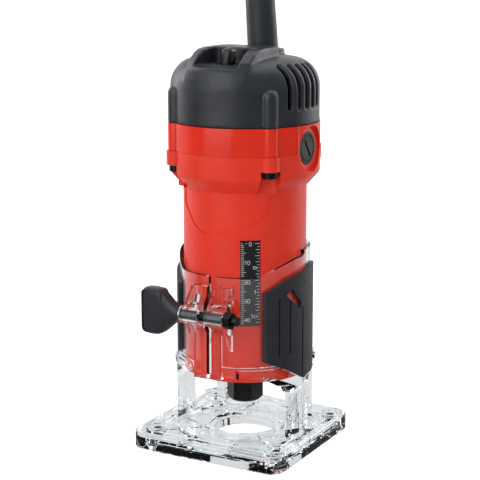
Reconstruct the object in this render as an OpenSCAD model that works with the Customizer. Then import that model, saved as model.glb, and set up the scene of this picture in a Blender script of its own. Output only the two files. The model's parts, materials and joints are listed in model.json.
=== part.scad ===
// Trim router: a slim routing motor held in a clear split-sleeve base.
// +Z is up along the spindle, -Y is the front (clamp side), and z = 0 is the sole of the base.
// Angles round the axis are counted from the front (-Y) towards +X.

/* [Base] */
// Width of the sole plate
base_w = 89; // [84:0.5:96]
// Depth of the sole plate
base_d = 87.4; // [84:0.2:94]
// Corner radius of the sole plate
base_corner_r = 8.4; // [6:0.2:10]
// Thickness of the flat sole plate
sole_t = 4.5; // [3.5:0.1:5]
// Height of the foot's rim above the ground
foot_h = 8.8; // [8:0.1:9.4]
// Radius of the cutter opening in the sole
cutter_hole_r = 16.7; // [14:0.1:18]
// Radius of the sleeve's outside
sleeve_r = 34.8; // [34.4:0.1:35]
// Gap between the two clamp ears
ear_gap = 4.2; // [3:0.1:5]
// Height of the clamp screw's axis
clamp_z = 76.8; // [74:0.1:79]
// Distance of the clamp screw from the spindle axis
clamp_y = 43; // [42.5:0.1:44]

/* [Motor body] */
// Radius of the barrel that slides in the sleeve
barrel_r = 32.5; // [32.3:0.05:32.52]
// Radius of the wide head
head_r = 39.3; // [38.8:0.1:40]
// Height of the barrel's lower end
barrel_bottom = 39; // [38:0.5:41]
// Height of the seam below the upper ring
seam_z = 159; // [157:0.5:161]
// Height of the seam below the black cap
cap_z = 173.2; // [172:0.1:175]
// Height of the vent slots' lower ends
vent_bottom = 181.4; // [180:0.2:184]
// Width of one vent slot
vent_w = 3.2; // [2:0.1:3.6]

/* [Running parts] */
// Depth of the collet nut's lower face below the barrel
nut_drop = 17.5; // [16:0.5:18]
// Size across the flats of the collet nut
nut_af = 17; // [16:0.5:18]
// Radius of the collet's bore
collet_bore_r = 3; // [3:0.05:3.2]
// Lean of the switch lever from upright at rest
lever_lean = 8; // [6:1:10]

/* [Cord] */
// Diameter of the mains cord
cord_d = 7; // [6.8:0.1:7]
// Height of the cord guard above the cap's collar
guard_len = 52; // [45:1:56]

/* [Hidden] */
$fn = 96;

fit = 0.06;
clear_colour = [0.86, 0.9, 0.93, 0.45];
red = [0.78, 0.13, 0.09];
charcoal = [0.17, 0.18, 0.2];
black = [0.06, 0.06, 0.07];
steel = [0.7, 0.71, 0.73];
copper = [0.72, 0.4, 0.2];

base_y = -3;
foot_front = base_y - base_d / 2;
foot_back = base_y + base_d / 2;
sleeve_bore = barrel_r + fit;
skirt_r = 36.8;
lip_z = 43;
sleeve_top = 107;
sleeve_front_top = 96;
rim_t = 3;
web_t = 1.6;
rib_t = 1.5;
rib_top = foot_h - 0.8;
ring_rib_r = 21.4;
sole_screw_x = 36;
sole_screw_y = [-32, 32.4];
sole_screw_r = 1.9;

ear_in = ear_gap / 2;
ear_w = 10.4;
ear_out = ear_in + ear_w;
ear_boss_r = 4.7;
m5_r = 2.5;
washer_t = 0.9;
knob_x = ear_out + washer_t;

boss_r = 4.2;
boss_c = 37.5;
boss_angles = [48, 138, 228, 318];
screw_head_top = 151.5;
screw_head_h = 3.4;
brush_z = 160.6;
brush_recess_r = 12;
brush_recess_x = 36.3;
brush_cap_r = 8.5;
wall = 2.6;
barrel_bore = 29.85;
cone_z = [139.5, 147];
scale_a = [24.6, 42.6];
scale_z = [70.7, 115.4];
panel_depth = 0.4;

dome_c = 24.5;
dome_z = 191.5;
dome_r = head_r - 0.5 - dome_c;
cap_r = head_r - 0.5;
block_x = 1;
block_w = 35;
recess_w = 24.6;
recess_back = -10.6;
recess_floor = 202.8;
guard_y = 19.5;
collar_top = 208.8;
guard_r = 8.1;
guard_lean = 3.5;
guard_turn = 28.9;
guard_base_z = collar_top + 0.3;

nut_bottom = barrel_bottom - nut_drop;
nut_top = barrel_bottom - 2.5;
core_z = [84, 130];
armature_r = 16.6;
lower_bearing_z = 47;
upper_bearing_z = 172.3;
lever_pivot_z = 199.3;
lever_y = -20.8;

coil_x = 193.5;
coil_y = 8;
coil_mid_r = 40;
coil_lanes = 3;
coil_layers = 2;
coil_lift = 0.8;
coil_out = coil_mid_r + coil_lanes * cord_d / 2;
coil_in = coil_mid_r - coil_lanes * cord_d / 2;
coil_h = coil_layers * cord_d;
tie_angle = 110;
plug_x = coil_x + 24;
plug_y = 12;
plug_len = 36;
plug_t = 18;
plug_z = coil_lift + coil_h + 0.2 + plug_t / 2;

// A turned ring between two heights.
module ring(ro, ri, z0, z1) {
  translate([0, 0, z0])
    difference() {
      cylinder(r = ro, h = z1 - z0);
      translate([0, 0, -1]) cylinder(r = ri, h = z1 - z0 + 2);
    }
}

// Turn a child that is drawn on +X to the given angle from the front.
module at(a) {
  rotate([0, 0, a - 90]) children();
}

// A ring cut down to the sector between two angles.
module sector(ro, ri, z0, z1, a0, a1) {
  at(a0)
    rotate_extrude(angle = a1 - a0)
      translate([ri, z0]) square([ro - ri, z1 - z0]);
}

module rounded_rect(w, d, r) {
  union() {
    square([w - 2 * r, d], center = true);
    square([w, d - 2 * r], center = true);
    for (x = [-1, 1], y = [-1, 1])
      translate([x * (w / 2 - r), y * (d / 2 - r)]) circle(r = r);
  }
}

// An upright-sided opening with a round-cornered top, drawn in X and Z and cut along Y.
module window(w, z0, z1, r, y0, y1) {
  translate([0, y1, 0])
    rotate([90, 0, 0])
      linear_extrude(height = y1 - y0)
        union() {
          translate([-w / 2, z0]) square([w, z1 - z0 - r]);
          translate([-w / 2 + r, z0]) square([w - 2 * r, z1 - z0]);
          for (s = [-1, 1]) translate([s * (w / 2 - r), z1 - r]) circle(r = r);
        }
}

// ---- Base -------------------------------------------------------------------

module sole_outline(inset) {
  translate([0, base_y])
    rounded_rect(base_w - 2 * inset, base_d - 2 * inset, max(base_corner_r - inset, 1));
}

module sole_screw_places() {
  for (x = [-sole_screw_x, sole_screw_x], y = sole_screw_y) translate([x, y, 0]) children();
}

// Ribs that stand in the foot's pocket: a ring, four corner arcs, spokes and a frame.
module foot_ribs() {
  arc_r = 24.5;
  linear_extrude(height = rib_top - sole_t)
    difference() {
      union() {
        circle(r = ring_rib_r);
        for (x = [-1, 1], i = [0, 1])
          translate([x * sole_screw_x, sole_screw_y[i]])
            difference() {
              circle(r = arc_r + rib_t / 2);
              circle(r = arc_r - rib_t / 2);
            }
        for (x = [-1, 1], i = [0, 1])
          rotate([0, 0, atan2(sole_screw_y[i], x * sole_screw_x)])
            translate([ring_rib_r - 1, -rib_t / 2])
              square([norm([sole_screw_x, sole_screw_y[i]]) - ring_rib_r, rib_t]);
        difference() {
          sole_outline(8);
          sole_outline(8 + rib_t);
        }
      }
      circle(r = ring_rib_r - rib_t);
    }
}

module foot() {
  boss = 6.2;
  translate([0, 0, sole_t])
    difference() {
      union() {
        linear_extrude(height = web_t) sole_outline(0);
        linear_extrude(height = foot_h - sole_t)
          difference() {
            sole_outline(0);
            sole_outline(rim_t);
          }
        intersection() {
          foot_ribs();
          linear_extrude(height = foot_h) sole_outline(0.5);
        }
        sole_screw_places() cylinder(r = boss, h = foot_h - sole_t - 0.3);
      }
      translate([0, 0, -1]) cylinder(r = ring_rib_r - rib_t, h = foot_h);
      sole_screw_places() translate([0, 0, -1]) cylinder(r = 2, h = foot_h);
      sole_screw_places() translate([0, 0, 2.2]) cylinder(r = 3.6, h = foot_h);
    }
}

// The skirt under the sleeve: a ring cut into two wide side legs and two thin rear legs.
module skirt() {
  difference() {
    union() {
      ring(skirt_r, sleeve_bore + 0.2, sole_t, 45);
      ring(37.6, sleeve_bore + 0.2, 44, 47.6);
    }
    window(66, foot_h, lip_z, 12, -60, 0);
    window(50, foot_h, lip_z, 10, 5, 60);
    translate([0, 11.8, 0]) rotate([0, 0, 90]) window(19, foot_h, 41.5, 7, -60, 60);
    translate([-14, -60, 40]) cube([28, 30, 10]);
  }
}

// The top edge of the sleeve steps down to the front.
module sleeve() {
  difference() {
    union() {
      ring(sleeve_r, sleeve_bore, lip_z, sleeve_top);
      sector(36, sleeve_r - 0.5, 46, 48.8, -62, -20);
      sector(36, sleeve_r - 0.5, 46, 48.8, 9, 62);
    }
    translate([0, 1, 0])
      rotate([90, 0, 0])
        linear_extrude(height = 60)
          polygon([[-40, 108.5], [-34.9, 105.4], [-31, 102.3], [-22.5, sleeve_front_top],
                   [22.5, sleeve_front_top], [31, 102.3], [34.9, 105.4], [40, 108.5],
                   [40, 120], [-40, 120]]);
  }
}

// One clamp ear on the +X side of the slit: the screw's boss, a hollow sloped brace above it,
// and ribs below it.
module ear(thick) {
  translate([ear_in, -clamp_y, clamp_z])
    rotate([0, 90, 0]) cylinder(r = ear_boss_r, h = ear_w);
  difference() {
    translate([ear_in, 0, 0])
      rotate([90, 0, 90])
        linear_extrude(height = ear_w - 1)
          polygon([[-33.2, 91], [-36.4, 91], [-44.6, 81.2], [-45, 75], [-36, 66], [-33.2, 66]]);
    translate([ear_in + 1.6, 0, 0])
      rotate([90, 0, 90])
        linear_extrude(height = ear_w - 4.2)
          polygon([[-35.4, 92], [-38.2, 92], [-46, 83], [-46, 82.6], [-38.6, 82.6],
                   [-35.4, 86]]);
  }
  translate([ear_in, -37.4, lip_z - 1]) cube([thick, 4.4, 31]);
  translate([ear_in + ear_w - 2.6, 0, 0])
    rotate([90, 0, 90])
      linear_extrude(height = 1.6)
        polygon([[-34, 74], [-43, 74], [-35.2, 58], [-34, 58]]);
}

module clear_base() {
  color(clear_colour)
    difference() {
      union() {
        foot();
        skirt();
        sleeve();
        ear(3.4);
        mirror([1, 0, 0]) ear(7.6);
      }
      translate([0, 0, lip_z - 10]) cylinder(r = sleeve_bore, h = 90);
      translate([-ear_in, -60, foot_h + 2]) cube([ear_gap, 40, 120]);
      translate([-30, -clamp_y, clamp_z]) rotate([0, 90, 0]) cylinder(r = m5_r + 0.25, h = 60);
      grip_pocket();
      mirror([1, 0, 0]) grip_pocket();
    }
}

module sole_plate() {
  color(clear_colour)
    difference() {
      union() {
        translate([0, 0, 0.6]) linear_extrude(height = sole_t - 0.6) sole_outline(0);
        linear_extrude(height = 0.6) sole_outline(0.5);
      }
      translate([0, 0, -1]) cylinder(r = cutter_hole_r, h = sole_t + 2);
      sole_screw_places() translate([0, 0, -1]) cylinder(r = 2.1, h = sole_t + 2);
      sole_screw_places() translate([0, 0, -0.01]) cylinder(r1 = 4.2, r2 = 2.1, h = 2.4);
    }
}

// Four countersunk screws that hold the sole under the foot.
module sole_screws() {
  color(black)
    sole_screw_places()
      difference() {
        union() {
          translate([0, 0, 0.3]) cylinder(r1 = 3.7, r2 = sole_screw_r, h = 2);
          translate([0, 0, 0.3]) cylinder(r = sole_screw_r, h = 7.6);
        }
        for (a = [0, 90]) rotate([0, 0, a]) translate([-2.2, -0.35, 0]) cube([4.4, 0.7, 1.3]);
      }
}

// The grips' sloped outline, grown by g, as (back, up) points.
module grip_outline(g) {
  translate([60, 0, 0])
    rotate([90, 0, -90])
      linear_extrude(height = 80)
        polygon([[25.2 + g, 51.6 - g], [25.2 + g, 88 + g], [15.2 + g, 94 + g], [-6.8, 98 + g],
                 [-16 - g, 98 + g], [-16 - g, 41 - g], [-9, 39.7 - g], [-2.6, 39.7 - g],
                 [1.6, 38.6 - g], [5 + g, 40 - g]]);
}

// The shallow pocket that a grip sits in.
module grip_pocket() {
  intersection() {
    sector(sleeve_r + 8, sleeve_r - 0.02, 35, 101, 39.7, 118.3);
    grip_outline(0.12);
  }
}

// Rubber grip pads: a curved sheet with a sloped outline, a window, a slit and grooves.
module grip_pad() {
  grip_r = sleeve_r + 1.6;
  difference() {
    intersection() {
      sector(grip_r, sleeve_r + 0.03, 36, 100, 40, 118);
      grip_outline(0);
    }
    translate([60, 0, 0])
      rotate([90, 0, -90])
        linear_extrude(height = 40)
          polygon([[15.5, 85.8], [11.6, 88.6], [4.2, 79.8], [5.6, 77]]);
    at(85) translate([33, -0.5, 30]) cube([6, 1, 48]);
    for (a = [58, 69]) at(a) translate([grip_r - 0.7, -0.4, 54]) cube([2, 0.8, 31]);
  }
}

module right_grip() {
  color(charcoal) grip_pad();
}

module left_grip() {
  color(charcoal) mirror([1, 0, 0]) grip_pad();
}

module clamp_nut() {
  color(black)
    translate([ear_out + 0.02, -clamp_y, clamp_z])
      rotate([0, 90, 0])
        difference() {
          cylinder(r = 4.6, h = 4, $fn = 6);
          translate([0, 0, -1]) cylinder(r = m5_r + fit, h = 6);
        }
}

module clamp_washer() {
  color(steel)
    translate([-ear_out - washer_t, -clamp_y, clamp_z])
      rotate([0, 90, 0])
        difference() {
          cylinder(r = 4.4, h = washer_t - 0.05);
          translate([0, 0, -1]) cylinder(r = m5_r + fit, h = 3);
        }
}

// The clamp screw runs through both ears and its nut.
module clamp_screw() {
  color(black)
    translate([-knob_x - 14, -clamp_y, clamp_z])
      rotate([0, 90, 0]) cylinder(r = m5_r, h = knob_x + 14 + 19.6);
}

// A flat paddle that tapers into a round neck on the screw.
module clamp_knob() {
  color(charcoal)
    translate([-knob_x - 0.05, -clamp_y, clamp_z])
      rotate([0, -90, 0])
        difference() {
          union() {
            cylinder(r = 3.9, h = 4);
            hull() {
              translate([0, 0, 2]) cylinder(r = 3.9, h = 0.1, $fn = 32);
              for (x = [-7.2, 7.2])
                translate([x, 0, 13.4]) rotate([90, 0, 0])
                  cylinder(r = 5.3, h = 7.6, center = true, $fn = 32);
              for (x = [-6.4, 6.4])
                translate([x, 0, 17]) rotate([90, 0, 0])
                  cylinder(r = 5.6, h = 6.6, center = true, $fn = 32);
            }
          }
          translate([0, 0, -1]) cylinder(r = m5_r, h = 15);
        }
}

// ---- Motor body --------------------------------------------------------------

module boss_columns(r, z0, z1) {
  for (a = boss_angles) at(a) translate([boss_c, 0, z0]) cylinder(r = r, h = z1 - z0);
}

// Pockets in both sides of the head for the brush holders and their caps.
module brush_pockets() {
  for (s = [0, 180])
    rotate([0, 0, s]) translate([0, 0, brush_z]) rotate([0, 90, 0]) {
      translate([0, 0, brush_recess_x]) cylinder(r = brush_recess_r, h = 10);
      translate([0, 0, 29]) cylinder(r = brush_cap_r + 0.1, h = 10);
      translate([-5.6, -4.6, 12]) cube([11.2, 9.2, 18]);
    }
}

module brush_blocks(z0, z1) {
  for (s = [0, 180])
    rotate([0, 0, s]) translate([25, -12.5, z0]) cube([12.5, 25, z1 - z0]);
}

// The shallow panel on the barrel's front, drawn as it is seen from 5 degrees to the right.
module front_panel() {
  at(5)
    intersection() {
      ring(barrel_r + 1, barrel_r - panel_depth, 110, 145);
      rotate([90, 0, 90])
        linear_extrude(height = 60)
          polygon([[-24.5, 138.3], [-24.5, 131], [-15.5, 120.6], [-8.9, 117.4], [10, 121.4],
                   [20.4, 125], [22.9, 130.6], [24.6, 138.3]]);
    }
}

module motor_housing() {
  color(red)
    difference() {
      union() {
        rotate_extrude()
          polygon([[0, barrel_bottom], [barrel_r - 3, barrel_bottom],
                   [barrel_r - 0.9, barrel_bottom + 1], [barrel_r, barrel_bottom + 3.2],
                   [barrel_r, cone_z[0]], [barrel_r + 1.6, cone_z[0] + 1.6],
                   [head_r - 0.8, cone_z[1] - 1], [head_r, cone_z[1] + 0.6],
                   [head_r, seam_z - 0.1], [0, seam_z - 0.1]]);
        boss_columns(boss_r + 0.9, cone_z[0], seam_z - 0.1);
      }
      for (a = boss_angles) at(a)
        translate([boss_c + 0.4, 0, cone_z[0] - 4])
          cylinder(r = boss_r + 1.1, h = screw_head_top - cone_z[0] + 4);
      boss_columns(2.3, 140, 170);
      difference() {
        rotate_extrude()
          polygon([[0, barrel_bottom + 3.5], [barrel_bore, barrel_bottom + 3.5],
                   [barrel_bore, cone_z[1] + 2.5], [head_r - wall, cone_z[1] + 7],
                   [head_r - wall, seam_z + 1], [0, seam_z + 1]]);
        ring(17, 10, barrel_bottom + 3, lower_bearing_z + 11);
        brush_blocks(148, seam_z);
        boss_columns(boss_r + 0.9, cone_z[0], seam_z);
      }
      translate([0, 0, barrel_bottom - 1]) cylinder(r = 11.5, h = 20);
      translate([0, 0, lower_bearing_z]) cylinder(r = 14.05, h = 20);
      for (a = [15:30:345]) at(a)
        translate([19.5, -2.2, barrel_bottom - 1]) cube([7.5, 4.4, 6]);
      brush_pockets();
      front_panel();
      sector(barrel_r + 1, barrel_r - 0.65, scale_z[0] - 0.1, scale_z[1] + 0.1,
             scale_a[0] - 0.2, scale_a[1] + 0.2);
    }
}

// The red band above the seam, with the bridge that carries the upper bearing.
module upper_ring() {
  color(red)
    difference() {
      union() {
        ring(head_r, head_r - wall, seam_z, cap_z);
        brush_blocks(seam_z, cap_z - 0.1);
        boss_columns(boss_r, seam_z, cap_z);
        intersection() {
          for (a = [48, 138]) rotate([0, 0, a])
            translate([-37, -5, 169.4]) cube([74, 10, cap_z - 169.5]);
          ring(head_r - 1, 12, 160, 180);
        }
        ring(13.8, 6.8, 169.4, 180);
      }
      boss_columns(2.3, 150, 180);
      translate([0, 0, upper_bearing_z]) cylinder(r = 11.05, h = 12);
      brush_pockets();
    }
}

module dome(inset) {
  r = dome_r - inset;
  arc = [for (t = [0:9:90]) [dome_c + r * cos(t), dome_z + r * sin(t)]];
  rotate_extrude()
    polygon(concat([[0, cap_z + 0.05 - inset], [cap_r - inset, cap_z + 0.05 - inset]], arc,
                   [[10, dome_z + r + 1.9], [0, dome_z + r + 2.2]]));
}

// Upright housing round the switch: its front follows the head and leans back above the lip.
module switch_block() {
  intersection() {
    rotate_extrude()
      polygon([[0, 180], [cap_r, 180], [cap_r, 192], [cap_r - 0.6, 196.5],
               [cap_r - 2.2, 200.8], [cap_r - 5.2, 205.2], [cap_r - 9.4, 209],
               [cap_r - 13, 210.8], [cap_r - 17, 211.4], [0, 211.4]]);
    translate([block_x, -20, 170])
      linear_extrude(height = 60) rounded_rect(block_w, 54, 6);
  }
}

module switch_recess(grow) {
  translate([block_x, recess_back - 25 + grow, recess_floor - grow])
    linear_extrude(height = 20)
      rounded_rect(recess_w + 2 * grow, 50, 2.4 + grow);
}

// Five slots on each side: parallel cuts that wrap over the shoulder.
module vents() {
  for (s = [0, 1], k = [0:4]) {
    y = -16.2 + 5.75 * k;
    x = sqrt(31.3 * 31.3 - y * y);
    r = vent_w / 2;
    mirror([s, 0, 0]) translate([x + r, y, 0]) {
      translate([0, -r, vent_bottom + r]) cube([30, vent_w, 40]);
      translate([0, 0, vent_bottom + r]) rotate([0, 90, 0]) cylinder(r = r, h = 30);
      translate([0, 0, vent_bottom + r]) cylinder(r = r, h = 40);
    }
  }
}

module top_cap() {
  color(charcoal)
    difference() {
      union() {
        dome(0);
        switch_block();
        translate([0.8, guard_y + 0.6, 195]) cylinder(r = 10.4, h = collar_top - 195);
        boss_columns(boss_r - 0.1, cap_z, 188.5);
        for (a = boss_angles) at(a)
          translate([boss_c, 0, 188.5]) sphere(r = boss_r - 0.1);
      }
      difference() {
        dome(wall);
        switch_recess(2.2);
        boss_columns(boss_r, cap_z - 1, 196);
        translate([0, guard_y, 190]) cylinder(r = 12.5, h = 20);
        for (x = [-1, 1]) translate([x * 9.5, guard_y, 183]) cylinder(r = 3.6, h = 20);
      }
      switch_recess(0);
      translate([block_x, lever_y, 190]) linear_extrude(height = 30) rounded_rect(13, 10.4, 1);
      vents();
      boss_columns(1.95, cap_z - 1, 187);
      translate([0, guard_y, 189]) cylinder(r = guard_r + 0.1, h = 30);
      translate([0, guard_y, 189]) cylinder(r = 10, h = 15);
      for (x = [-1, 1]) translate([x * 9.5, guard_y, 182]) cylinder(r = 1.2, h = 9);
    }
}

// Curved depth scale let into the barrel and almost flush with it.
module scale_plate() {
  color(black)
    sector(barrel_r - 0.05, barrel_r - 0.6, scale_z[0], scale_z[1], scale_a[0], scale_a[1]);
}

module housing_screws() {
  color(black)
    for (a = boss_angles) at(a) translate([boss_c, 0, 0])
      difference() {
        union() {
          translate([0, 0, screw_head_top - screw_head_h - 0.02])
            cylinder(r = 3.7, h = screw_head_h);
          translate([0, 0, screw_head_top - 1]) cylinder(r = 1.9, h = 35);
        }
        for (b = [0, 90]) rotate([0, 0, b])
          translate([-2.4, -0.5, screw_head_top - screw_head_h - 1]) cube([4.8, 1, 2.4]);
      }
}

// ---- Brush gear ---------------------------------------------------------------

module brush_cap() {
  translate([0, 0, brush_z]) rotate([0, 90, 0])
    difference() {
      union() {
        translate([0, 0, 33.6]) cylinder(r = brush_cap_r, h = 2.9);
        translate([0, 0, 30.2]) cylinder(r = 6.9, h = 4);
      }
      translate([0, 0, 35.9]) difference() {
        cylinder(r = brush_cap_r - 1.4, h = 2);
        translate([0, 0, -1]) cylinder(r = brush_cap_r - 2, h = 4);
      }
      rotate([0, 0, 35]) translate([-5.6, -0.7, 35.2]) cube([11.2, 1.4, 3]);
      translate([0, 0, 29]) cylinder(r = 3.2, h = 3.6);
    }
}

module brush_cap_right() {
  color(black) brush_cap();
}

module brush_cap_left() {
  color(black) mirror([1, 0, 0]) brush_cap();
}

module brush_holder() {
  difference() {
    union() {
      translate([13, -4.5, brush_z - 5.5]) cube([16.2, 9, 11]);
      translate([29.2, 0, brush_z]) rotate([0, 90, 0]) cylinder(r = 8.4, h = 4.3);
    }
    translate([12, -2.6, brush_z - 4.1]) cube([18, 5.2, 8.2]);
    translate([29.6, 0, brush_z]) rotate([0, 90, 0]) cylinder(r = 7, h = 5);
  }
}

module brush_holder_right() {
  color("goldenrod") brush_holder();
}

module brush_holder_left() {
  color("goldenrod") mirror([1, 0, 0]) brush_holder();
}

module carbon_brushes() {
  color([0.2, 0.2, 0.21])
    for (s = [0, 1]) mirror([s, 0, 0])
      translate([11.25, -2.5, brush_z - 4]) cube([11, 5, 8]);
}

module brush_springs() {
  color(steel)
    for (s = [0, 1]) mirror([s, 0, 0])
      translate([22.3, 0, brush_z]) rotate([0, 90, 0])
        difference() {
          cylinder(r = 2.4, h = 10.1);
          translate([0, 0, -1]) cylinder(r = 1.8, h = 13);
        }
}

// ---- Switch and cord entry ------------------------------------------------------

module switch_body() {
  color(black)
    difference() {
      translate([block_x - 11, lever_y - 8, 183]) cube([22, 17, 17.4]);
      translate([block_x - 5.2, lever_y - 4.6, 196.6]) cube([10.4, 9.2, 6]);
      translate([block_x, lever_y, lever_pivot_z]) rotate([90, 0, 0])
        cylinder(r = 3.6, h = 9.2, center = true);
    }
}

// Dust plate on the recess floor, slotted for the lever, with raised on and off marks.
module switch_plate() {
  color(black)
    difference() {
      union() {
        intersection() {
          translate([block_x, recess_back - 13, recess_floor + 0.02])
            linear_extrude(height = 0.9) rounded_rect(recess_w - 0.3, 25.6, 2.6);
          translate([0, 0, 190]) cylinder(r = 34.6, h = 20);
        }
        translate([block_x - 9.4, lever_y - 5.4, recess_floor + 0.5]) ring(1.7, 1, 0, 0.8);
        translate([block_x + 8.2, lever_y - 7, recess_floor + 0.5]) cube([0.8, 3.4, 0.8]);
      }
      translate([block_x, lever_y, 200]) linear_extrude(height = 6) square([9.4, 9], center = true);
    }
}

module switch_lever() {
  finger_r = 3.1;
  top = 212.2;
  color(black)
    translate([block_x, lever_y, lever_pivot_z]) rotate([0, lever_lean, 0])
      union() {
        rotate([90, 0, 0]) cylinder(r = 3.2, h = 7, center = true);
        hull() {
          for (y = [-1.2, 1.2]) translate([0, y, 0]) {
            cylinder(r = 2.9, h = 1, $fn = 32);
            translate([0, 0, top - lever_pivot_z - finger_r])
              sphere(r = finger_r - 0.2, $fn = 32);
          }
        }
      }
}

// Rubber guard: a flange under the cap, a neck through the collar and a long tapered sleeve.
module cord_guard() {
  end_r = 6;
  neck_r = guard_r - 0.3;
  color(black)
    difference() {
      union() {
        translate([0, guard_y, 200.2]) cylinder(r = 9.7, h = 3.4);
        translate([0, guard_y, 200.2]) cylinder(r = neck_r, h = guard_base_z - 200.2 + 0.6);
        translate([0, guard_y, guard_base_z]) rotate([0, 0, guard_turn])
          rotate([0, -guard_lean, 0])
            rotate_extrude()
              polygon([[0, 0], [guard_r, 0], [guard_r - 0.3, guard_len * 0.45],
                       [end_r + 0.5, guard_len * 0.94], [end_r, guard_len], [0, guard_len]]);
      }
      translate([0, guard_y, 195]) cylinder(r = cord_d / 2 + 0.1, h = 12);
    }
}

module cord_clamp() {
  color("dimgray")
    difference() {
      translate([-12.5, guard_y - 3.6, 178.6]) cube([25, 7.2, 3.6]);
      for (x = [-9.5, 9.5]) translate([x, guard_y, 170]) cylinder(r = 1.7, h = 20);
    }
}

module cord_clamp_screws() {
  color(steel)
    for (x = [-9.5, 9.5]) translate([x, guard_y, 0]) {
      translate([0, 0, 176.4]) cylinder(r = 2.9, h = 2.1);
      translate([0, 0, 178]) cylinder(r = 1.15, h = 11);
    }
}

// ---- Motor ------------------------------------------------------------------------

// Laminated yoke with two poles that face the armature.
module stator_core() {
  color("lightslategray")
    translate([0, 0, core_z[0]])
      linear_extrude(height = core_z[1] - core_z[0])
        difference() {
          union() {
            difference() {
              circle(r = barrel_bore - 0.05);
              circle(r = 25);
            }
            intersection() {
              square([16, 58], center = true);
              circle(r = 27);
            }
            difference() {
              circle(r = 19);
              for (s = [0, 180]) rotate(s) translate([10, -10]) square([20, 20]);
            }
          }
          circle(r = armature_r + 0.5);
        }
}

// One field coil: two bars beside a pole, joined by arcs past the ends of the core.
module field_coil() {
  z0 = core_z[0] - 4;
  z1 = core_z[1] + 5;
  difference() {
    sector(24.6, 19.6, z0, z1, -42, 42);
    sector(27, 17, z0 + 3.6, z1 - 4.6, -26, 26);
  }
}

module field_coil_front() {
  color(copper) field_coil();
}

module field_coil_back() {
  color(copper) rotate([0, 0, 180]) field_coil();
}

module air_baffle() {
  color(black) ring(barrel_bore - 0.05, 20, 77.4, 79);
}

module bearing_retainer() {
  color(steel)
    ring(13.9, 11, lower_bearing_z + 8.1, lower_bearing_z + 10);
}

module race_outer(ro, width) {
  groove = width * 0.28;
  difference() {
    ring(ro, ro - 2.6, 0, width);
    rotate_extrude() translate([ro - 3.6, width / 2]) circle(r = groove + 0.2);
  }
}

module race_inner(ri, width, wall_t) {
  groove = width * 0.28;
  difference() {
    ring(ri + wall_t, ri, 0, width);
    rotate_extrude() translate([ri + wall_t + 0.95, width / 2]) circle(r = groove + 0.2);
  }
}

// Balls held in a thin cage.
module ball_cage(pitch_r, ball_r, width, count) {
  for (i = [0:count - 1]) rotate([0, 0, i * 360 / count])
    translate([pitch_r, 0, width / 2]) sphere(r = ball_r);
  ring(pitch_r + 0.4, pitch_r - 0.4, width / 2 - 0.6, width / 2 + 0.6);
}

module lower_bearing_outer() {
  color(steel) translate([0, 0, lower_bearing_z]) race_outer(14, 8);
}

module lower_bearing_inner() {
  color(steel) translate([0, 0, lower_bearing_z]) race_inner(6, 8, 3.1);
}

module lower_bearing_balls() {
  color(steel) translate([0, 0, lower_bearing_z]) ball_cage(10.25, 1.9, 8, 8);
}

module upper_bearing_outer() {
  color(steel) translate([0, 0, upper_bearing_z]) race_outer(11, 7);
}

module upper_bearing_inner() {
  color(steel) translate([0, 0, upper_bearing_z]) race_inner(4, 7, 2);
}

module upper_bearing_balls() {
  color(steel) translate([0, 0, upper_bearing_z]) ball_cage(7.2, 1.6, 7, 7);
}

// Stepped shaft with a hollow nose for the collet.
module spindle() {
  color(steel)
    difference() {
      rotate_extrude()
        polygon([[0, 26.4], [7.3, 26.4], [7.3, 37.4], [7.9, 37.6], [7.9, 46.8], [6, 46.9],
                 [6, 56], [6.6, 56.2], [6.6, 60], [5, 60.2], [5, 170.6], [4, 170.8],
                 [4, 181.4], [3.4, 182], [0, 182]]);
      translate([0, 0, 26]) cylinder(r = 5.75, h = 14.6);
      translate([0, 0, 40]) cylinder(r = collet_bore_r + 0.3, h = 6);
    }
}

module armature_core() {
  slots = 12;
  color("lightslategray")
    translate([0, 0, core_z[0]])
      linear_extrude(height = core_z[1] - core_z[0])
        difference() {
          circle(r = armature_r);
          circle(r = 5.02);
          for (i = [0:slots - 1]) rotate(i * 360 / slots) {
            translate([12.2, 0]) circle(r = 1.6);
            translate([13, -0.7]) square([6, 1.4]);
          }
        }
}

module winding_head(h) {
  rotate_extrude()
    polygon([[5.4, 0], [15.2, 0], [15.6, h * 0.35], [13.6, h * 0.8], [9, h], [5.4, h]]);
}

module armature_windings() {
  color(copper) {
    translate([0, 0, core_z[1] + 0.05]) winding_head(10);
    translate([0, 0, core_z[0] - 0.05]) mirror([0, 0, 1]) winding_head(4.6);
  }
}

module commutator() {
  bars = 24;
  color(copper)
    difference() {
      ring(11.2, 5.02, 151, 167.6);
      for (i = [0:bars - 1]) rotate([0, 0, i * 360 / bars])
        translate([10.2, -0.25, 150]) cube([3, 0.5, 17]);
    }
}

// Cooling fan: a disc with straight tapered blades below it.
module fan() {
  blades = 14;
  color("whitesmoke")
    difference() {
      union() {
        ring(28.6, 5.02, 73, 75);
        ring(9.5, 5.02, 62, 75);
        for (i = [0:blades - 1]) rotate([0, 0, i * 360 / blades])
          translate([9, -0.7, 63.4]) cube([19, 1.4, 9.8]);
      }
      translate([0, 0, 50]) cylinder(r = 5.02, h = 40);
    }
}

module spindle_ring() {
  color(steel) ring(6.2, 4.02, upper_bearing_z + 7.1, upper_bearing_z + 8);
}

module collet() {
  color(steel)
    difference() {
      rotate_extrude()
        polygon([[0, nut_bottom + 0.4], [4.3, nut_bottom + 0.4], [4.3, nut_bottom + 3.4],
                 [5.6, nut_bottom + 4.7], [5.6, 38], [0, 38]]);
      translate([0, 0, 10]) cylinder(r = collet_bore_r, h = 40);
      for (a = [0, 120, 240]) rotate([0, 0, a])
        translate([0.5, -0.3, nut_bottom - 1]) cube([8, 0.6, 13]);
    }
}

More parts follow.
